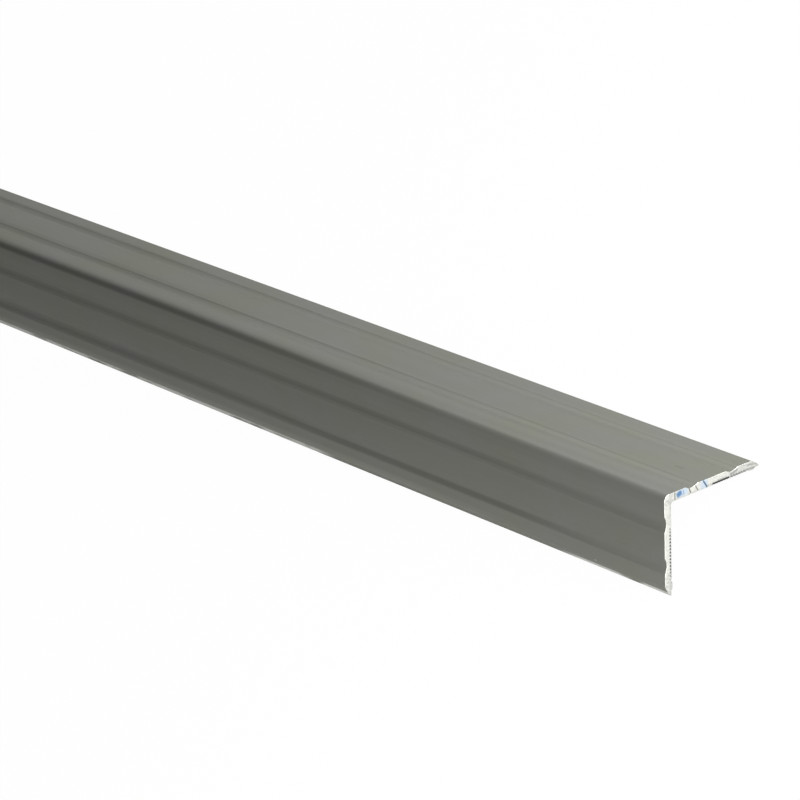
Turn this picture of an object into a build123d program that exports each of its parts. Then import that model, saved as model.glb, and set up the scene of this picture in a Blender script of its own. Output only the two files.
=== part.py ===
from build123d import *

import os
from math import atan2, degrees

# An extruded aluminium corner angle with unequal legs, as sold by the length.
#
# The section is drawn in the YZ plane with its virtual outer corner, where the two outer
# faces would meet, at the origin. The long leg runs along +Y with its outer face up, and
# the short leg runs along -Z with its outer face towards -Y. Each leg is drawn in its own
# two measures: the distance along the leg from that corner, and the depth below the
# leg's outer face. The bar is extruded along X and then turned so that it stands on both
# of its tips like a roof, with the corner uppermost, which is how it lies by itself.

# Driving dimensions, in millimetres
LENGTH = 1000.0
LONG_LEG = 24.5
SHORT_LEG = 20.0
WALL = 1.7
CORNER_RADIUS = 1.3  # outside of the corner
FILLET_RADIUS = 0.6  # inside of the corner

# Decorative grooves in the outer faces, with their centres measured from the corner
GROOVE_WIDTH = 3.1
GROOVE_DEPTH = 0.42
LONG_LEG_GROOVES = (7.0, 17.4)
SHORT_LEG_GROOVES = (5.7, 13.9)

# Toe: the outer face rolls over to a thin tip, set back inside behind a low lip
TOE_RUN = 2.0
TOE_BULGE = 0.12  # of the rolled face, above the straight line from its start to the tip
TIP_THICKNESS = 0.2
TIP_LENGTH = 1.0
TIP_RELIEF = 0.2  # step back from the inner face
LIP_WIDTH = 1.2
LIP_RISE = 0.12
CHANNEL_WIDTH = 0.5
CHANNEL_DEPTH = 0.15

# Serrations in the inner faces, which key the glue
SERRATION_PITCH = 0.665
SERRATION_DEPTH = 0.2
SERRATION_LAND = 0.2  # flat left between two notches
LONG_LEG_SMOOTH = 10.95  # plain face from the corner to the first notch
SHORT_LEG_SMOOTH = 6.45

NODE = "angle_section"

# Depth of the inner side of a tip, below the outer face of its leg
TOE_DEPTH = WALL - TIP_RELIEF


def on_long_leg(along, depth):
    """Section point of the long leg."""
    return (along, -depth)


def on_short_leg(along, depth):
    """Section point of the short leg."""
    return (depth, -along)


def outer_face(place, leg, grooves):
    """Edges of a leg's outer face, from the corner's curve to the tip."""
    edges = []
    along = CORNER_RADIUS
    for centre in grooves:
        start, end = centre - GROOVE_WIDTH / 2, centre + GROOVE_WIDTH / 2
        edges.append(Line(place(along, 0), place(start, 0)))
        edges.append(ThreePointArc(place(start, 0), place(centre, GROOVE_DEPTH), place(end, 0)))
        along = end
    toe = leg - TOE_RUN
    tip_depth = TOE_DEPTH - TIP_THICKNESS
    bulge = place((toe + leg) / 2, tip_depth / 2 - TOE_BULGE)
    edges.append(Line(place(along, 0), place(toe, 0)))
    edges.append(ThreePointArc(place(toe, 0), bulge, place(leg, tip_depth)))
    edges.append(Line(place(leg, tip_depth), place(leg, TOE_DEPTH)))
    return edges


def toe_inside(leg):
    """Inner points of a toe, from the tip over the lip and its channel to the flat face."""
    lip, floor = WALL + LIP_RISE, WALL - CHANNEL_DEPTH
    along, points = leg, [(leg, TOE_DEPTH)]
    for run, depth in (
        (TIP_LENGTH, TOE_DEPTH),
        (lip - TOE_DEPTH, lip),
        (LIP_WIDTH, lip),
        (lip - floor, floor),
        (CHANNEL_WIDTH, floor),
        (CHANNEL_DEPTH, WALL),
    ):
        along -= run
        points.append((along, depth))
    return points


def inner_face(place, leg, smooth):
    """Edges of a leg's inner face, from the tip to the fillet inside the corner."""
    points = toe_inside(leg)
    room = points[-1][0] - smooth
    notch_half = (SERRATION_PITCH - SERRATION_LAND) / 2
    for number in reversed(range(int(room / SERRATION_PITCH))):
        valley = smooth + (number + 0.5) * SERRATION_PITCH
        points.append((valley + notch_half, WALL))
        points.append((valley, WALL - SERRATION_DEPTH))
        points.append((valley - notch_half, WALL))
    points.append((WALL + FILLET_RADIUS, WALL))
    return [Polyline(*[place(along, depth) for along, depth in points])]


def corner_arc(depth, radius):
    """Quarter turn from the long leg to the short one, at a depth below the outer faces."""
    return JernArc(on_long_leg(depth + radius, depth), (-1, 0), radius, 90)


def section():
    """Face of the whole section."""
    edges = outer_face(on_long_leg, LONG_LEG, LONG_LEG_GROOVES)
    edges += inner_face(on_long_leg, LONG_LEG, LONG_LEG_SMOOTH)
    edges += outer_face(on_short_leg, SHORT_LEG, SHORT_LEG_GROOVES)
    edges += inner_face(on_short_leg, SHORT_LEG, SHORT_LEG_SMOOTH)
    edges += [corner_arc(0, CORNER_RADIUS), corner_arc(WALL, FILLET_RADIUS)]
    return make_face(edges)


def angle_section():
    """The bar, standing on its two tips, centred over the origin."""
    bar = extrude(Plane.YZ * section(), LENGTH)
    standing = degrees(atan2(SHORT_LEG - TOE_DEPTH, LONG_LEG - TOE_DEPTH))
    bar = Rot(X=-standing) * bar
    box = bar.bounding_box()
    return Pos(-box.center().X, -box.center().Y, -box.min.Z) * bar


os.makedirs("parts", exist_ok=True)
part = angle_section()
part.label = NODE
export_step(part, f"parts/{NODE}.step")
print(NODE, part.bounding_box().size, "mm, volume", round(part.volume / 1000, 3), "cm3")
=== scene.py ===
"""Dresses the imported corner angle: its drawn sides, its two sawn ends, their finishes, and a pale studio."""
import logging
import math
from dataclasses import dataclass, field
from enum import Enum
from functools import reduce
from operator import add

import bpy
import numpy as np
from mathutils import Matrix, Vector


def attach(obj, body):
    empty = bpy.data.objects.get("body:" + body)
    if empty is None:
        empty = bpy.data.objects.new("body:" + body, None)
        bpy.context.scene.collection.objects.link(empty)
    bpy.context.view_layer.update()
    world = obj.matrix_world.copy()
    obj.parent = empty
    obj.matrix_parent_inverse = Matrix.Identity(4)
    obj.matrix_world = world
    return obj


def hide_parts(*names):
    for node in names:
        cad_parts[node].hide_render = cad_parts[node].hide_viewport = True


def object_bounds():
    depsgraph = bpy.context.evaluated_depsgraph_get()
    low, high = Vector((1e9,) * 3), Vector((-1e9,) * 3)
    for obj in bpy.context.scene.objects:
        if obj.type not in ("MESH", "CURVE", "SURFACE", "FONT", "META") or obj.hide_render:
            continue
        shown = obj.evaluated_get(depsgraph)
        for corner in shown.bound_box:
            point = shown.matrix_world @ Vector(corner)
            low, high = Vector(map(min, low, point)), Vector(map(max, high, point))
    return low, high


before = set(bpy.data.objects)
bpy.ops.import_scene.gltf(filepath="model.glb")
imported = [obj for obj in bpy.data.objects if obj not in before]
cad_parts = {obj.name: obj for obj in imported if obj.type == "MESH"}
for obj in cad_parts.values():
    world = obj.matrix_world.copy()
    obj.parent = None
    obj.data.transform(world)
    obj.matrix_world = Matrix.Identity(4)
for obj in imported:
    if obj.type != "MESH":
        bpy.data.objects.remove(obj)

CAD_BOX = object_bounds()
NODE = "angle_section"
BODY = "root"
MM = 0.001
DRAWN = "drawn_place"
NOISE_MEAN = 0.5

Pair = tuple[float, float]
Triple = tuple[float, float, float]

log = logging.getLogger("corner_angle")


def put(name: str, data: bpy.types.ID) -> bpy.types.Object:
    """Puts a mesh, lamp or camera in the scene.

    Args:
        name: the new object's name.
        data: what the object shows.

    Returns:
        The object.
    """
    made = bpy.data.objects.new(name, data)
    bpy.context.scene.collection.objects.link(made)
    return made


# ---------------------------------------------------------------- shader graphs


class Shade:
    """One output of a node. Arithmetic on it adds Math nodes to its graph."""

    def __init__(self, graph: "Graph", socket: bpy.types.NodeSocket) -> None:
        """Wraps a socket.

        Args:
            graph: the graph that the socket is in.
            socket: the output that later nodes read.
        """
        self.graph = graph
        self.socket = socket

    def math(self, operation: str, *values: "Shade | float") -> "Shade":
        """Adds one Math node.

        Args:
            operation: the node's operation.
            values: its inputs, in order.

        Returns:
            The node's result.
        """
        return self.graph.value("ShaderNodeMath", {"operation": operation}, dict(enumerate(values)))

    def __add__(self, other: "Shade | float") -> "Shade":
        """This plus other."""
        return self.math("ADD", self, other)

    def __sub__(self, other: "Shade | float") -> "Shade":
        """This minus other."""
        return self.math("SUBTRACT", self, other)

    def __rsub__(self, other: float) -> "Shade":
        """Other minus this."""
        return self.math("SUBTRACT", other, self)

    def __mul__(self, other: "Shade | float") -> "Shade":
        """This times other."""
        return self.math("MULTIPLY", self, other)

    def __abs__(self) -> "Shade":
        """This without its sign."""
        return self.math("ABSOLUTE", self)

    def fade(self, start: float, end: float) -> "Shade":
        """A smooth step of this value.

        Args:
            start: the value at which the result is 0.
            end: the value at which the result is 1. It may be below start.

        Returns:
            0 on start's side, 1 on end's side and an S-shaped rise between.
        """
        rising = start < end
        steps = {"From Min": min(start, end), "From Max": max(start, end)}
        steps |= {"To Min": 0.0 if rising else 1.0, "To Max": 1.0 if rising else 0.0}
        smooth = {"interpolation_type": "SMOOTHSTEP"}
        return self.graph.value("ShaderNodeMapRange", smooth, {"Value": self, **steps})


class Graph:
    """A node tree that is filled by calls, each of which adds one node."""

    def __init__(self, owner: bpy.types.Material | bpy.types.World) -> None:
        """Empties the tree of a material or world and takes it over.

        Args:
            owner: what the tree belongs to.
        """
        owner.use_nodes = True
        self.tree = owner.node_tree
        self.tree.nodes.clear()
        self.of_world = isinstance(owner, bpy.types.World)

    def node(self, kind: str, settings: dict | None = None, inputs: dict | None = None) -> bpy.types.Node:
        """Adds a node: its settings first, then the values or links of its sockets.

        Args:
            kind: the node's type.
            settings: properties of the node.
            inputs: a number, colour or Shade for each socket, by name or number.

        Returns:
            The new node.
        """
        made = self.tree.nodes.new(kind)
        for name, setting in (settings or {}).items():
            setattr(made, name, setting)
        for key, given in (inputs or {}).items():
            if isinstance(given, Shade):
                self.tree.links.new(given.socket, made.inputs[key])
            else:
                made.inputs[key].default_value = given
        return made

    def value(
        self, kind: str, settings: dict | None = None, inputs: dict | None = None, output: int | str = 0
    ) -> Shade:
        """Adds a node and wraps one of its outputs.

        Args:
            kind: the node's type.
            settings: properties of the node.
            inputs: what its sockets are given.
            output: the output to wrap.

        Returns:
            That output.
        """
        return Shade(self, self.node(kind, settings, inputs).outputs[output])

    def blend(self, factor: "Shade | float", first: "Shade | tuple", second: "Shade | tuple") -> Shade:
        """Mixes two colours.

        Args:
            factor: 0 for the first and 1 for the second.
            first: a Shade, or a colour of three numbers.
            second: the other colour.

        Returns:
            The mixed colour.
        """
        pair = [given if isinstance(given, Shade) else (*given, 1.0) for given in (first, second)]
        inputs = {0: factor, 6: pair[0], 7: pair[1]}
        return self.value("ShaderNodeMix", {"data_type": "RGBA"}, inputs, output=2)

    def noise(self, place: Shade, waves: Triple, detail: float = 2.0) -> Shade:
        """Noise that is stretched by direction.

        Args:
            place: the coordinates to read.
            waves: how many waves one unit of those coordinates holds, in each direction.
            detail: octaves of finer noise.

        Returns:
            A value about 0.5.
        """
        scaled = self.value("ShaderNodeVectorMath", {"operation": "MULTIPLY"}, {0: place, 1: waves})
        return self.value("ShaderNodeTexNoise", {}, {"Vector": scaled, "Scale": 1.0, "Detail": detail})

    def drawn(self) -> Shade:
        """The place on the drawn bar, in millimetres, that every piece keeps at its corners."""
        return self.value("ShaderNodeAttribute", {"attribute_name": DRAWN}, output="Vector")

    def parts(self, vector: Shade) -> tuple[Shade, Shade, Shade]:
        """The three numbers of a vector.

        Args:
            vector: the vector to split.

        Returns:
            Its X, Y and Z.
        """
        split = self.node("ShaderNodeSeparateXYZ", {}, {0: vector})
        return tuple(Shade(self, output) for output in split.outputs)

    def finish(self, shader: Shade) -> None:
        """Sends a shader to the output, which this adds."""
        kind = "ShaderNodeOutputWorld" if self.of_world else "ShaderNodeOutputMaterial"
        self.node(kind, {}, {"Surface": shader})


# ---------------------------------------------------------------- the section


class Leg(Enum):
    """The two legs of the section."""

    SHORT = "short"
    LONG = "long"

    def other(self) -> "Leg":
        """The leg that this one meets at the corner."""
        return Leg.LONG if self is Leg.SHORT else Leg.SHORT


def arc_through(start: Pair, middle: Pair, end: Pair, count: int) -> np.ndarray:
    """Points on the circle through three points.

    The centre is as far from all three, and the angle runs from the start past the middle to the
    end in equal steps.

    Args:
        start: first point.
        middle: a point between.
        end: last point.
        count: how many points are wanted.

    Returns:
        Rows of two.
    """
    first, via, last = (np.array(point, float) for point in (start, middle, end))
    chords = 2 * np.array([via - first, last - first])
    centre = np.linalg.solve(chords, [via @ via - first @ first, last @ last - first @ first])
    spokes = np.array([first, via, last]) - centre
    angles = np.unwrap(np.arctan2(spokes[:, 1], spokes[:, 0]))
    turns = np.linspace(angles[0], angles[2], count)
    return centre + np.linalg.norm(spokes[0]) * np.column_stack([np.cos(turns), np.sin(turns)])


@dataclass
class Section:
    """The drawn section, in millimetres, before it is stood on its tips.

    The virtual outer corner is the origin. The long leg runs along +Y and the short leg along -Z.
    A face is its depth below the outer face, at each distance along its leg.
    """

    legs: dict[Leg, float] = field(default_factory=lambda: {Leg.SHORT: 20.0, Leg.LONG: 24.5})
    grooves: dict[Leg, Pair] = field(
        default_factory=lambda: {Leg.SHORT: (5.7, 13.9), Leg.LONG: (7.0, 17.4)}
    )
    smooth: dict[Leg, float] = field(default_factory=lambda: {Leg.SHORT: 6.45, Leg.LONG: 10.95})
    wall: float = 1.7
    corner_radius: float = 1.3
    fillet_radius: float = 0.6
    groove_width: float = 3.1
    groove_depth: float = 0.42
    toe_run: float = 2.0
    toe_bulge: float = 0.12
    tip_thickness: float = 0.2
    tip_length: float = 1.0
    tip_relief: float = 0.2
    lip_width: float = 1.2
    lip_rise: float = 0.12
    channel_width: float = 0.5
    channel_depth: float = 0.15
    serration_pitch: float = 0.665
    serration_depth: float = 0.2
    serration_land: float = 0.2
    sample: float = 0.045
    softening: float = 0.05
    arc_points: int = 21

    def tip_depth(self) -> float:
        """Depth of a tip's inner side below the outer face."""
        return self.wall - self.tip_relief

    def outer_face(self, leg: Leg) -> np.ndarray:
        """Corners and arcs of a leg's outer face, from the corner's curve to the tip.

        Each groove is an arc through its two shoulders and its deepest point. The toe is an arc
        that bulges above the straight line from its start to the tip.

        Args:
            leg: which leg.

        Returns:
            Rows of distance along the leg and depth.
        """
        half, length = self.groove_width / 2, self.legs[leg]
        rows = [[(self.corner_radius, 0.0)]]
        for centre in self.grooves[leg]:
            bottom = (centre, self.groove_depth)
            rows.append(arc_through((centre - half, 0), bottom, (centre + half, 0), self.arc_points))
        toe, outer_tip = length - self.toe_run, self.tip_depth() - self.tip_thickness
        crown = ((toe + length) / 2, outer_tip / 2 - self.toe_bulge)
        rows.append(arc_through((toe, 0), crown, (length, outer_tip), self.arc_points))
        return np.vstack(rows)

    def inner_face(self, leg: Leg) -> np.ndarray:
        """Corners of a leg's inner face, from the fillet to the tip.

        Notches are V-shaped and one pitch apart, from the smooth stretch to the channel behind the
        lip. Lip and channel have sides at 45 degrees.

        Args:
            leg: which leg.

        Returns:
            Rows of distance along the leg and depth.
        """
        lip, floor, tip = self.wall + self.lip_rise, self.wall - self.channel_depth, self.tip_depth()
        runs = [self.tip_length, lip - tip, self.lip_width, lip - floor]
        runs += [self.channel_width, self.channel_depth]
        stops = self.legs[leg] - np.cumsum([0.0, *runs])
        toe = np.column_stack([stops, [tip, tip, lip, lip, floor, floor, self.wall]])[::-1]
        count = int((toe[0, 0] - self.smooth[leg]) / self.serration_pitch)
        valleys = self.smooth[leg] + (np.arange(count) + 0.5) * self.serration_pitch
        reach = (self.serration_pitch - self.serration_land) / 2 * np.array([-1.0, 0.0, 1.0])
        dips = np.broadcast_to(self.wall - self.serration_depth * np.array([0.0, 1.0, 0.0]), (count, 3))
        notches = np.column_stack([(valleys[:, None] + reach).ravel(), dips.ravel()])
        return np.vstack([[(self.wall + self.fillet_radius, self.wall)], notches, toe])

    def even(self, points: np.ndarray, count: int) -> np.ndarray:
        """A face at even steps along its leg, with its edges softened.

        Depth is read at the even steps and then averaged with a bell-shaped weight.

        Args:
            points: rows of distance and depth.
            count: how many steps.

        Returns:
            The same face as count rows.
        """
        along = np.linspace(points[0, 0], points[-1, 0], count)
        depth = np.interp(along, points[:, 0], points[:, 1])
        reach = math.ceil(3 * self.softening / self.sample)
        weight = np.exp(-0.5 * (np.arange(-reach, reach + 1) * self.sample / self.softening) ** 2)
        padded = np.pad(depth, reach, mode="reflect", reflect_type="odd")
        return np.column_stack([along, np.convolve(padded, weight / weight.sum(), mode="valid")])

    def path(self, inside: bool) -> np.ndarray:
        """One side of the whole section, from the short tip round the corner to the long tip.

        Args:
            inside: True for the inner side.

        Returns:
            Rows of Y and Z.
        """
        depth, radius = (self.wall, self.fillet_radius) if inside else (0.0, self.corner_radius)
        face = self.inner_face if inside else self.outer_face
        short, long = (self.even(face(leg), int(self.legs[leg] / self.sample)) for leg in Leg)
        turns = np.linspace(0, math.pi / 2, self.arc_points + 2)[1:-1]
        reach = depth + radius
        corner = np.column_stack([reach - radius * np.cos(turns), radius * np.sin(turns) - reach])
        return np.vstack([(short[:, ::-1] * (1, -1))[::-1], corner, long * (1, -1)])

    def stance(self) -> Matrix:
        """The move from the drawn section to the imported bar, in metres.

        The section turns about X until both tips are level, rises until they are at zero height,
        and shifts until its width is centred. X zero of the drawing is the near end.

        Returns:
            The matrix.
        """
        tip = self.tip_depth()
        level = math.atan2(self.legs[Leg.SHORT] - tip, self.legs[Leg.LONG] - tip)
        turn = Matrix.Rotation(-level, 4, "X")
        outline = np.vstack([self.path(False), self.path(True)]) * MM
        turned = outline @ np.array(turn)[1:3, 1:3].T
        shift = Vector((CAD_BOX[1].x, -(turned[:, 0].min() + turned[:, 0].max()) / 2, -turned[:, 1].min()))
        return Matrix.Translation(shift) @ turn


# ---------------------------------------------------------------- finishes


def drawn_reach(graph: Graph) -> tuple[Shade, dict[Leg, Shade]]:
    """The distances on the drawn bar that every finish follows, in millimetres.

    Args:
        graph: the graph to add to.

    Returns:
        The distance from the near end, which falls from 0, and the distance along each leg. On
        one leg, the distance along the other is the depth below its outer face.
    """
    along, across, height = graph.parts(graph.drawn())
    return along, {Leg.SHORT: 0.0 - height, Leg.LONG: across}


@dataclass(frozen=True)
class Stroke:
    """A short straight mark on one face, in millimetres on the drawn bar."""

    start: Pair
    end: Pair
    width: float
    tone: Triple
    strength: float = 1.0
    softness: float = 0.12

    def mask(self, across: Shade, down: Shade) -> Shade:
        """How much of the mark is at each place.

        Along the mark's own direction it fades out at both ends, and across it at half the width.

        Args:
            across: the first of the two distances that the mark's ends are given in.
            down: the second.

        Returns:
            From 0 to the mark's strength.
        """
        (x, y), (u, v) = self.start, self.end
        length = math.hypot(u - x, v - y)
        cos, sin = (u - x) / length, (v - y) / length
        along = (across - (x + u) / 2) * cos + (down - (y + v) / 2) * sin
        aside = (across - x) * sin - (down - y) * cos
        body = abs(aside).fade(self.width / 2 + self.softness, self.width / 2 - self.softness / 2)
        return body * abs(along).fade(length / 2 + self.softness, length / 2 - self.softness) * self.strength


@dataclass(frozen=True)
class CrossTone:
    """A painted change of light across the legs, the same all along the bar.

    It follows the distances along the legs, in millimetres, each times its own weight, added up.
    Nothing changes where that sum is at start, and the change is full from end on.
    """

    lift: float
    short_weight: float
    long_weight: float
    start: float
    end: float

    def tone_lift(self, reach: dict[Leg, Shade]) -> Shade:
        """How much the tone is lifted.

        Args:
            reach: distance along each leg.

        Returns:
            From 0 to the lift.
        """
        distance = reach[Leg.SHORT] * self.short_weight + reach[Leg.LONG] * self.long_weight
        return distance.fade(self.start, self.end) * self.lift


@dataclass(frozen=True)
class ToneLine:
    """A painted line of light along the bar, at one place on a leg, in millimetres: a highlight where the lift
    is above 0 and shade where it is below.

    It comes up between two distances from the near end, and is full over a share of its width.
    """

    leg: Leg
    place: float
    half_width: float
    lift: float
    start: float
    end: float
    full_share: float = 0.35

    def tone_lift(self, along: Shade, reach: dict[Leg, Shade]) -> Shade:
        """How much the line lifts the tone.

        Args:
            along: distance from the near end, which falls from 0.
            reach: distance along each leg.

        Returns:
            The line's lift where it is full, and 0 away from it.
        """
        aside = abs(reach[self.leg] - self.place)
        line = aside.fade(self.half_width, self.half_width * self.full_share)
        return line * along.fade(self.start, self.end) * self.lift


@dataclass(frozen=True)
class ToeHighlight:
    """A stretch of the bar with a painted highlight along its toes, in millimetres from the near end."""

    back: float
    front: float
    share: float = 1.0
    soft_end: float = 4.0
    soft_edge: Pair = (-0.2, 0.1)

    def band(self, along: Shade, reach: Shade, length: float, width: float) -> Shade:
        """The band of painted highlight on the toe of one leg, with soft ends and a soft edge.

        Args:
            along: distance from the near end.
            reach: distance along the leg.
            length: the leg's length.
            width: the band's full width, of which this stretch has its share.

        Returns:
            From 0 to 1.
        """
        from_back = along.fade(self.back - self.soft_end, self.back + self.soft_end)
        to_front = along.fade(self.front + self.soft_end, self.front - self.soft_end)
        edge = length - width * self.share
        return reach.fade(edge + self.soft_edge[0], edge + self.soft_edge[1]) * from_back * to_front


@dataclass(frozen=True)
class AnodisedFinish:
    """Matt anodised aluminium: a warm grey with a drawn grain, and painted light, shade and toe highlights in
    its tone.

    Lifts are painted light: shares by which the tone is made paler, and painted shade where they are below 0.
    """

    section: Section = field(default_factory=Section)
    olive_tone: Triple = (0.173, 0.178, 0.150)
    # colour of the painted highlight along the toes
    plain_tone: Triple = (0.177, 0.178, 0.166)
    toe_highlight_tone: Triple = (0.52, 0.52, 0.49)
    metallic: float = 0.2
    roughness: float = 0.45
    roughness_swing: float = 0.06
    grain_waves: Triple = (7.0, 4200.0, 4200.0)
    grain_swing: float = 0.07
    grain_height: float = 0.004 * MM
    grain_bump: float = 0.35
    band_waves: Triple = (3.0, 420.0, 420.0)
    band_swing: float = 0.08
    cloud_waves: Triple = (22.0, 120.0, 120.0)
    cloud_swing: float = 0.09
    hue_waves: Triple = (60.0, 60.0, 60.0)
    hue_change: Pair = (0.3, 0.7)
    # ragged edges of the painted highlight along the toes
    toe_highlight_waves: Triple = (160.0, 600.0, 600.0)
    toe_highlight_change: Pair = (0.3, 0.5)
    # painted light toward both toes, and painted shade by the corner and on its ridge
    short_toe: CrossTone = CrossTone(0.11, 1.0, 0.0, 12.5, 19.0)
    long_toe: CrossTone = CrossTone(0.05, 0.0, 1.0, 8.0, 20.0)
    corner: CrossTone = CrossTone(-0.06, 1.0, 3.0, 13.0, 8.0)
    ridge: CrossTone = CrossTone(-0.07, 1.0, 2.0, 3.5, 1.5)
    # the corner's edge, which carries painted shade and, at the near end, a painted highlight
    edge: CrossTone = CrossTone(1.0, 2.2, 1.0, 3.0, 0.8)
    edge_lifts: Pair = (-0.36, 0.08)
    edge_change: Pair = (-150.0, -25.0)
    edge_end: Pair = (-350.0, -240.0)
    edge_rest: float = 0.3
    # painted shade and highlights along the grooves, and a painted highlight by the short toe
    lines: tuple[ToneLine, ...] = (
        ToneLine(Leg.SHORT, 6.2, 0.85, -0.115, 10.0, -60.0),
        ToneLine(Leg.SHORT, 7.0, 0.35, 0.11, 5.0, -60.0),
        ToneLine(Leg.SHORT, 14.75, 0.75, -0.21, -12.0, -45.0),
        ToneLine(Leg.SHORT, 13.85, 0.7, -0.14, -85.0, -130.0),
        ToneLine(Leg.SHORT, 15.15, 0.35, 0.14, -85.0, -125.0),
        ToneLine(Leg.SHORT, 18.2, 1.2, 0.18, -25.0, -80.0),
        ToneLine(Leg.LONG, 5.85, 0.45, 0.04, -110.0, -40.0),
        ToneLine(Leg.LONG, 8.25, 0.65, 0.07, -260.0, -200.0),
        ToneLine(Leg.LONG, 8.0, 0.9, 0.12, -120.0, -35.0),
        ToneLine(Leg.LONG, 8.4, 2.1, -0.12, -110.0, -165.0),
        ToneLine(Leg.LONG, 18.7, 0.55, 0.06, -260.0, -200.0),
        ToneLine(Leg.LONG, 18.45, 0.9, 0.11, -130.0, -35.0),
        ToneLine(Leg.LONG, 18.4, 1.6, -0.12, -125.0, -185.0),
    )
    # width of the painted highlight on each toe, and the stretches of the bar that carry it
    toe_highlight_width: dict[Leg, float] = field(default_factory=lambda: {Leg.SHORT: 1.2, Leg.LONG: 0.35})
    toe_highlights: tuple[ToeHighlight, ...] = (
        ToeHighlight(-26.0, 1.0, 0.65),
        ToeHighlight(-310.0, -96.0),
        ToeHighlight(-470.0, -407.0),
        ToeHighlight(-690.0, -562.0),
        ToeHighlight(-960.0, -822.0),
    )
    scuffs: dict[Leg, Stroke] = field(
        default_factory=lambda: {
            Leg.LONG: Stroke((-8.6, 11.4), (-6.4, 11.5), 0.35, (0.13, 0.133, 0.12), 0.7, 0.2),
            Leg.SHORT: Stroke((-18.4, 18.2), (-18.0, 18.2), 0.3, (0.42, 0.42, 0.39), 0.7, 0.15),
        }
    )
    scuff_depth: Pair = (1.2, 0.8)

    def edge_lift(self, along: Shade) -> Shade:
        """How the painted light on the corner's own edge changes along the bar.

        It has a painted highlight at the near end and painted shade on the stretch behind it. Farther back, a
        rest of the painted shade is left.

        Args:
            along: distance from the near end.

        Returns:
            The lift on the edge.
        """
        far, near = self.edge_lifts
        change = along.fade(*self.edge_change) * (near - far) + far
        return change * (along.fade(*self.edge_end) * (1 - self.edge_rest) + self.edge_rest)

    def lift(self, along: Shade, reach: dict[Leg, Shade]) -> Shade:
        """How much paler the tone is painted for light and shade.

        It is painted darker by the corner and paler toward both toes, with painted shade and highlights along
        the grooves and on the corner's edge.

        Args:
            along: distance from the near end.
            reach: distance along each leg.

        Returns:
            The lift.
        """
        across = (self.short_toe, self.long_toe, self.corner, self.ridge)
        lifts = [tone.tone_lift(reach) for tone in across]
        lifts += [line.tone_lift(along, reach) for line in self.lines]
        return reduce(add, lifts, self.edge.tone_lift(reach) * self.edge_lift(along))

    def painted_toe_highlight(self, graph: Graph, place: Shade, along: Shade, reach: dict[Leg, Shade]) -> Shade:
        """Where a highlight is painted on the toes: a ragged band at the tips, on some stretches of the bar.

        Args:
            graph: the graph to add to.
            place: Object coordinates.
            along: distance from the near end.
            reach: distance along each leg.

        Returns:
            From 0 to 1.
        """
        patches = graph.noise(place, self.toe_highlight_waves).fade(*self.toe_highlight_change)
        toes = [(reach[leg], self.section.legs[leg], width) for leg, width in self.toe_highlight_width.items()]
        return reduce(add, [highlight_stretch.band(along, *toe) for highlight_stretch in self.toe_highlights for toe in toes]) * patches

    def material(self) -> bpy.types.Material:
        """Builds the finish on Object coordinates and drawn places.

        Returns:
            The material.
        """
        made = bpy.data.materials.new("matt_anodised")
        graph = Graph(made)
        place = graph.value("ShaderNodeTexCoord", output="Object")
        along, reach = drawn_reach(graph)
        grain = graph.noise(place, self.grain_waves, detail=3.0) - NOISE_MEAN
        band = graph.noise(place, self.band_waves) - NOISE_MEAN
        cloud = graph.noise(place, self.cloud_waves, detail=3.0) - NOISE_MEAN
        hue = graph.noise(place, self.hue_waves).fade(*self.hue_change)
        shift = grain * self.grain_swing + band * self.band_swing + cloud * self.cloud_swing
        # the tone is scaled by random grain and by the painted light and shade
        brightness = {"Scale": shift + self.lift(along, reach) + 1.0}
        colour = graph.blend(hue, self.olive_tone, self.plain_tone)
        colour = graph.value("ShaderNodeVectorMath", {"operation": "SCALE"}, {0: colour, **brightness})
        for leg, scuff in self.scuffs.items():
            mask = scuff.mask(along, reach[leg]) * reach[leg.other()].fade(*self.scuff_depth)
            colour = graph.blend(mask, colour, scuff.tone)
        # painted highlight along the toes, in ragged stretches
        colour = graph.blend(self.painted_toe_highlight(graph, place, along, reach), colour, self.toe_highlight_tone)
        bump = {"Strength": self.grain_bump, "Distance": self.grain_height, "Height": grain}
        inputs = {
            "Base Color": colour,
            "Metallic": self.metallic,
            "Specular IOR Level": 0.0,
            "Roughness": cloud * self.roughness_swing + self.roughness,
            "Normal": graph.value("ShaderNodeBump", {}, bump),
        }
        graph.finish(graph.value("ShaderNodeBsdfPrincipled", {}, inputs))
        return made


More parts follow.
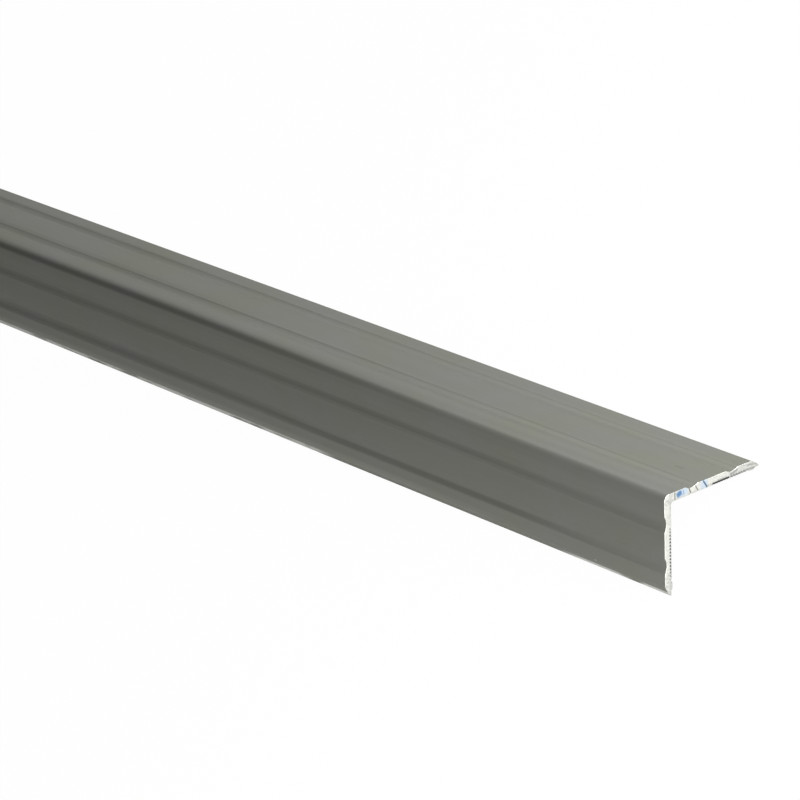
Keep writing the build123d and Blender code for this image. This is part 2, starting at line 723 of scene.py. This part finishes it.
@dataclass(frozen=True)
class SawnFinish:
    """Bare bright aluminium as the saw left it: fine scratches and duller patches, with painted shade in the
    notches.
    """

    name: str = "bare_sawn"
    section: Section = field(default_factory=Section)
    tone: Triple = (0.87, 0.87, 0.81)
    dull_tone: Triple = (0.5, 0.505, 0.48)
    # colour of the painted shade in the notches
    notch_shade_tone: Triple = (0.03, 0.03, 0.028)
    metallic: float = 1.0
    roughness: float = 0.3
    scratch_waves: Triple = (1.0, 0.8, 11.0)
    scratch_swing: float = 1.2
    scratch_height: float = 0.008 * MM
    scratch_bump: float = 0.4
    mottle_waves: Triple = (1.0, 1.7, 2.3)
    mottle_swing: float = 1.9
    inner_start: Pair = (0.8, 1.5)
    inner_end: Pair = (2.4, 1.6)
    inner_dullness: float = 0.3
    toe_start: dict[Leg, Pair] = field(
        default_factory=lambda: {Leg.SHORT: (13.0, 18.5), Leg.LONG: (14.5, 18.5)}
    )
    toe_dullness: float = 0.35
    plain_dullness: float = 0.1
    # where and how dark the painted shade in the notches is
    dots: dict[Leg, float] = field(default_factory=lambda: {Leg.SHORT: 1.0, Leg.LONG: 0.5})
    dot_edge: Pair = (0.5, -0.3)
    dot_depth: Pair = (0.65, 0.4)
    dots_start: Pair = (-0.1, 0.4)
    dots_end: Pair = (3.2, 3.6)
    darkest_dot: float = 5.2
    darkest_reach: Pair = (5.5, 2.5)
    least_notch_shade: float = 0.5
    marks: tuple[Stroke, ...] = ()

    def painted_notch_shade(self, leg: Leg, reach: dict[Leg, Shade]) -> Shade:
        """Painted shade in the notches of one leg: dots along its inner edge, one to a notch.

        A dot is where the cosine of the distance in pitches is low. The dots are darkest at one
        place and fainter away from it.

        Args:
            leg: which leg.
            reach: distance along each leg, which is depth in the other.

        Returns:
            From 0 to 1.
        """
        along, start, end = reach[leg], self.section.smooth[leg], self.section.legs[leg]
        phase = (along - start) * (2 * math.pi / self.section.serration_pitch)
        dots = phase.math("COSINE", phase).fade(*self.dot_edge)
        depth = reach[leg.other()].fade(*(self.section.wall - inward for inward in self.dot_depth))
        dark = abs(along - (start + self.darkest_dot)).fade(*self.darkest_reach)
        first = along.fade(*(start + inward for inward in self.dots_start))
        last = along.fade(*(end - inward for inward in self.dots_end))
        return dots * depth * (dark * (1 - self.least_notch_shade) + self.least_notch_shade) * first * last

    def dullness(self, reach: dict[Leg, Shade], scratch: Shade, mottle: Shade) -> Shade:
        """How dull the metal is: in patches, in its inner half, and toward both toes.

        Args:
            reach: distance along each leg.
            scratch: fine noise.
            mottle: coarser noise.

        Returns:
            A share, which mixing two colours by it holds between 0 and 1.
        """
        inner = [reach[leg].fade(*self.inner_start) * reach[leg].fade(*self.inner_end) for leg in Leg]
        toes = [reach[leg].fade(*self.toe_start[leg]) for leg in Leg]
        patches = mottle * self.mottle_swing + scratch * self.scratch_swing + self.plain_dullness
        return patches + reduce(add, inner) * self.inner_dullness + reduce(add, toes) * self.toe_dullness

    def material(self) -> bpy.types.Material:
        """Builds the finish on the ends' drawn places.

        Returns:
            The material.
        """
        made = bpy.data.materials.new(self.name)
        graph = Graph(made)
        _, reach = drawn_reach(graph)
        scratch = graph.noise(graph.drawn(), self.scratch_waves, detail=3.0) - NOISE_MEAN
        mottle = graph.noise(graph.drawn(), self.mottle_waves, detail=3.0) - NOISE_MEAN
        colour = graph.blend(self.dullness(reach, scratch, mottle), self.tone, self.dull_tone)
        for mark in self.marks:
            colour = graph.blend(mark.mask(reach[Leg.LONG], reach[Leg.SHORT]), colour, mark.tone)
        # painted shade in the serration notches, as dark dots at the inner edges
        notch_shade = reduce(add, [self.painted_notch_shade(leg, reach) * share for leg, share in self.dots.items()])
        colour = graph.blend(notch_shade, colour, self.notch_shade_tone)
        bump = {"Strength": self.scratch_bump, "Distance": self.scratch_height, "Height": scratch}
        inputs = {
            "Base Color": colour,
            "Metallic": self.metallic,
            "Roughness": self.roughness,
            "Normal": graph.value("ShaderNodeBump", {}, bump),
        }
        graph.finish(graph.value("ShaderNodeBsdfPrincipled", {}, inputs))
        return made


INK = (0.09, 0.24, 0.48)
PALE_INK = (0.62, 0.74, 0.88)
INKED_LINE = (0.07, 0.15, 0.24)
GREENISH_LINE = (0.10, 0.14, 0.13)
GREY_LINE = (0.08, 0.085, 0.09)
# a dark grey for the painted shadow of the long leg's serrations
SERRATION_SHADOW = (0.04, 0.04, 0.038)
# a grey for smudges on the cut, and for the painted shade of the long leg's serrations
SMUDGE_AND_SHADE = (0.3, 0.3, 0.29)
NEAR_MARKS = (
    Stroke((3.6, 0.70), (6.0, 0.65), 1.2, PALE_INK, 0.8, 0.3),
    Stroke((9.3, 0.70), (11.1, 0.80), 1.5, PALE_INK, 0.75, 0.3),
    Stroke((3.62, 0.20), (3.95, 1.20), 1.15, INK, 0.9, 0.3),
    Stroke((4.80, 0.20), (5.00, 1.20), 0.2, INK, 0.5, 0.15),
    Stroke((2.68, 0.05), (2.70, 1.50), 0.2, GREENISH_LINE, 0.85),
    Stroke((6.20, 0.10), (6.72, 1.40), 0.2, GREY_LINE, 0.85),
    Stroke((7.95, 0.30), (8.60, 1.50), 0.18, GREY_LINE, 0.75),
    Stroke((9.95, 0.02), (11.0, 1.60), 0.26, INKED_LINE, 0.95),
    # painted shadow of the long leg's serrations, along its inner edge
    Stroke((12.3, 1.42), (16.7, 1.40), 0.3, SERRATION_SHADOW),
    Stroke((13.5, 1.05), (16.2, 1.12), 0.14, SMUDGE_AND_SHADE, 0.6),
    # painted shade of the long leg's serrations, mottled, along its inner edge
    Stroke((17.0, 1.45), (23.4, 1.38), 0.26, SMUDGE_AND_SHADE, 0.7),
    Stroke((16.9, 1.00), (18.9, 0.50), 0.34, SMUDGE_AND_SHADE, 0.75, 0.25),
    Stroke((21.4, 0.45), (24.2, 0.85), 0.3, SMUDGE_AND_SHADE, 0.55, 0.25),
)


# ---------------------------------------------------------------- the bar


@dataclass
class Bar:
    """The bar: its drawn sides, and the two sawn ends as thin slices of their own."""

    section: Section
    length: float = 1000.0
    slice_thickness: float = 0.4
    edge_break: float = 0.03
    guard: float = 0.01
    side_stations: int = 11
    end_cells: int = 6

    def layer(self, station: float, inset: float, share: np.ndarray) -> np.ndarray:
        """The drawn places of one grid over the section.

        The grid is (1 - v) outer + v inner, where v runs across the wall and the rows run along
        the legs.

        Args:
            station: millimetres from the near end.
            inset: how far the rim is drawn in across the wall, in millimetres.
            share: v at each column of the grid.

        Returns:
            Rows of three.
        """
        outer, inner = self.section.path(False), self.section.path(True)
        gap = inner - outer
        unit = gap / np.linalg.norm(gap, axis=1, keepdims=True)
        start, end = outer + unit * inset, inner - unit * inset
        grid = ((1 - share) * start[:, None] + share * end[:, None]).reshape(-1, 2)
        return np.column_stack([np.full(len(grid), station), grid])

    def quads(self, order: np.ndarray, rim: np.ndarray, layers: int) -> np.ndarray:
        """Corners of every face: the sides between the rims, then the first and the last grid.

        Args:
            order: numbers of the corners of a whole grid.
            rim: those around its edge, in turn.
            layers: how many grids there are. All but the first and the last have only a rim.

        Returns:
            Rows of four.
        """
        bases = order.size + len(rim) * np.arange(layers - 1)
        rings = [rim, *[base + np.arange(len(rim)) for base in bases[:-1]], bases[-1] + rim]
        sides = [
            np.column_stack([back, front, np.roll(front, -1), np.roll(back, -1)])
            for back, front in zip(rings[:-1], rings[1:])
        ]
        cells = [order[:-1, :-1], order[1:, :-1], order[1:, 1:], order[:-1, 1:]]
        cap = np.column_stack([cell.ravel() for cell in cells])
        return np.vstack([*sides, cap, cap[:, ::-1] + bases[-1]])

    def surface(self, name: str, stations: np.ndarray, insets: np.ndarray, across: int) -> bpy.types.Object:
        """A closed length of the bar, which keeps the drawn place of each of its corners.

        The rims of the grids join up into the sides, and the first and the last grid close the
        ends. The ends, and the sides between two rims whose insets differ, are sawn.

        Args:
            name: the piece's name.
            stations: millimetres from the near end, rising to 0 there.
            insets: how far the rim is drawn in across the wall at each station, in millimetres.
            across: how many cells cross the wall.

        Returns:
            The piece.
        """
        share = np.linspace(0, 1, across + 1)[None, :, None]
        layers = [self.layer(station, inset, share) for station, inset in zip(stations, insets)]
        order = np.arange(len(layers[0])).reshape(-1, across + 1)
        rim = np.concatenate([order[:, 0], order[-1, 1:-1], order[::-1, -1], order[0, -2:0:-1]])
        drawn = np.vstack([layers[0], *[layer[rim] for layer in layers[1:-1]], layers[-1]])
        quads = self.quads(order, rim, len(layers))
        sawn = np.ones(len(quads), bool)
        sawn[: len(rim) * (len(layers) - 1)] = np.repeat(np.abs(np.diff(insets)) > 0, len(rim))
        stance = np.array(self.section.stance())
        mesh = bpy.data.meshes.new(name)
        mesh.from_pydata(drawn * MM @ stance[:3, :3].T + stance[:3, 3], [], quads)
        mesh.attributes.new(DRAWN, "FLOAT_VECTOR", "POINT").data.foreach_set("vector", drawn.ravel())
        mesh.polygons.foreach_set("use_smooth", ~sawn)
        mesh.polygons.foreach_set("material_index", sawn.astype(int))
        mesh.update()
        return put(name, mesh)

    def dress(self, piece: bpy.types.Object, *finishes: bpy.types.Material) -> bpy.types.Object:
        """Gives a piece its finishes and puts it in the CAD node's place.

        Args:
            piece: the piece.
            finishes: the sides' material and the sawn faces'.

        Returns:
            The same piece.
        """
        for finish in finishes:
            piece.data.materials.append(finish)
        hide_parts(NODE)
        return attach(piece, BODY)

    def build(self) -> list[bpy.types.Object]:
        """Builds and dresses the sides and both sawn ends.

        Returns:
            The three pieces.
        """
        anodised, plain = AnodisedFinish().material(), SawnFinish().material()
        marked = SawnFinish("marked_sawn", marks=NEAR_MARKS).material()
        thick, lip, guard = self.slice_thickness, self.edge_break, self.guard
        even = np.linspace(guard - self.length + thick, -thick - guard, self.side_stations)
        stations = np.concatenate([even[:1] - guard, even, even[-1:] + guard])
        sides = self.surface("drawn_sides", stations, np.zeros(len(stations)), 1)
        near = np.array([-thick, guard - thick, -lip - guard, -lip, 0.0])
        inset = np.array([0.0, 0.0, 0.0, 0.0, lip])
        near_end = self.surface("near_sawn_end", near, inset, self.end_cells)
        far_end = self.surface("far_sawn_end", -self.length - near[::-1], inset[::-1], self.end_cells)
        sawn = ((sides, plain), (near_end, marked), (far_end, plain))
        return [self.dress(piece, anodised, finish) for piece, finish in sawn]


# ---------------------------------------------------------------- the studio


NEAR_END = (0.45, 0.0, 0.01)


@dataclass
class Lamp:
    """A soft square lamp that points at the bar."""

    name: str
    place: Triple
    target: Triple
    brightness: float
    side: float = 0.3

    def build(self) -> bpy.types.Object:
        """Hangs the lamp. Its power keeps its brightness whatever its size.

        Returns:
            The lamp.
        """
        data = bpy.data.lights.new(self.name, "AREA")
        data.shape, data.size = "SQUARE", self.side
        data.energy = self.brightness * math.pi * self.side**2
        lamp = put(self.name, data)
        lamp.location = self.place
        lamp.rotation_euler = (Vector(self.target) - Vector(self.place)).to_track_quat("-Z", "Y").to_euler()
        lamp.visible_camera = False
        return lamp


@dataclass
class Studio:
    """A white sweep under a darker ceiling, with soft lamps on both sides of the bar."""

    fill: float = 0.2
    ceiling: float = 0.08
    horizon: float = -0.05
    ceiling_from: float = 0.45
    floor_radius: float = 30.0
    floor_corners: int = 96
    floor_glow: float = 0.98
    floor_tone: Triple = (0.86, 0.86, 0.86)
    lamps: tuple[Lamp, ...] = (
        Lamp("near_back_lamp", (0.7, 0.15, 0.12), NEAR_END, 5.95),
        Lamp("near_front_lamp", (0.72, -0.1, 0.1), NEAR_END, 3.8),
        Lamp("front_lamp", (0.6, -0.3, 0.1), NEAR_END, 0.5),
        Lamp("back_lamp", (0.2, 0.4, 0.15), NEAR_END, 1.8),
        Lamp("middle_front_lamp", (-0.1, -0.4, 0.2), (-0.15, 0.0, 0.01), 0.6),
        Lamp("middle_back_lamp", (-0.1, 0.4, 0.2), (-0.15, 0.0, 0.01), 1.8),
        Lamp("far_front_lamp", (-0.5, -0.4, 0.2), (-0.4, 0.0, 0.01), 1.5),
        Lamp("far_back_lamp", (-0.55, 0.4, 0.2), (-0.45, 0.0, 0.01), 2.2),
    )

    def seen(self, graph: Graph) -> tuple[Shade, Shade]:
        """Whether a ray is from the camera, and whether it is a reflection or passed through.

        Args:
            graph: the graph to add the node to.

        Returns:
            Both, as 0 or 1.
        """
        path = graph.node("ShaderNodeLightPath")
        direct, glossy, through = (
            Shade(graph, path.outputs[f"Is {kind} Ray"]) for kind in ("Camera", "Glossy", "Transmission")
        )
        return direct, glossy + through

    def sky(self) -> bpy.types.World:
        """Builds the surroundings: white in view, and in reflections white low down and dim overhead.

        Returns:
            The world.
        """
        world = bpy.data.worlds.new("pale_studio")
        graph = Graph(world)
        direct, mirrored = self.seen(graph)
        height = graph.parts(graph.value("ShaderNodeTexCoord", output="Generated"))[2]
        dome = height.fade(self.ceiling_from, self.horizon) * (1 - self.ceiling) + self.ceiling
        level = direct + (1 - direct) * (mirrored * dome + (1 - mirrored) * self.fill)
        graph.finish(graph.value("ShaderNodeBackground", {}, {"Color": (1, 1, 1, 1), "Strength": level}))
        world.cycles.sampling_method = "NONE"
        bpy.context.scene.world = world
        return world

    def floor(self) -> bpy.types.Object:
        """Lays a round pale floor that is white in view and in reflections, less the object's shadow.

        Returns:
            The floor.
        """
        turns = np.linspace(0, 2 * math.pi, self.floor_corners, endpoint=False)
        rim = self.floor_radius * np.column_stack([np.cos(turns), np.sin(turns), 0 * turns])
        mesh = bpy.data.meshes.new("pale_floor")
        mesh.from_pydata(rim, [], [list(range(len(rim)))])
        finish = bpy.data.materials.new("pale_floor")
        graph = Graph(finish)
        direct, mirrored = self.seen(graph)
        matt = graph.value("ShaderNodeBsdfDiffuse", {}, {"Color": (*self.floor_tone, 1)})
        glow = graph.value("ShaderNodeEmission", {}, {"Color": (1, 1, 1, 1), "Strength": 1.0})
        share = (direct + mirrored) * self.floor_glow
        graph.finish(graph.value("ShaderNodeMixShader", {}, {0: share, 1: matt, 2: glow}))
        finish.cycles.emission_sampling = "NONE"
        mesh.materials.append(finish)
        floor = put("pale_floor", mesh)
        return floor

    def build(self) -> None:
        """Builds the surroundings, the floor and the lamps."""
        self.sky()
        self.floor()
        for lamp in self.lamps:
            lamp.build()
        bpy.context.scene.view_settings.view_transform = "Standard"


@dataclass
class Viewpoint:
    """A long lens over the near end, looking down along the bar, with the camera rolled."""

    aim: Triple = (0.42827, -0.00394, 0.01581)
    distance: float = 0.70483
    azimuth: float = 71.297
    elevation: float = 41.696
    roll: float = 42.104
    lens: float = 164.27
    sensor: float = 36.0
    clip: Pair = (0.05, 100.0)

    def build(self) -> bpy.types.Object:
        """Sets the scene's camera.

        The camera stands back from its aim by the distance, on the side that the azimuth and the
        elevation give, and turns about its own axis by the roll.

        Returns:
            The camera.
        """
        turn, rise = math.radians(self.azimuth), math.radians(self.elevation)
        back = Vector((math.sin(turn) * math.cos(rise), -math.cos(turn) * math.cos(rise), math.sin(rise)))
        right = (-back).cross(Vector((0, 0, 1))).normalized()
        right.rotate(Matrix.Rotation(math.radians(-self.roll), 3, back))
        axes = Matrix((right, back.cross(right), back)).transposed()
        data = bpy.data.cameras.new("camera")
        data.lens, data.sensor_width = self.lens, self.sensor
        data.clip_start, data.clip_end = self.clip
        camera = put("camera", data)
        camera.matrix_world = Matrix.Translation(Vector(self.aim) + back * self.distance) @ axes.to_4x4()
        bpy.context.scene.camera = camera
        return camera


def main() -> None:
    """Builds the bar, the studio and the camera."""
    logging.basicConfig(level=logging.INFO, format="%(name)s: %(message)s")
    Viewpoint().build()
    Studio().build()
    for piece in Bar(Section()).build():
        log.info("%s: %d faces", piece.name, len(piece.data.polygons))


if __name__ == "__main__":
    main()
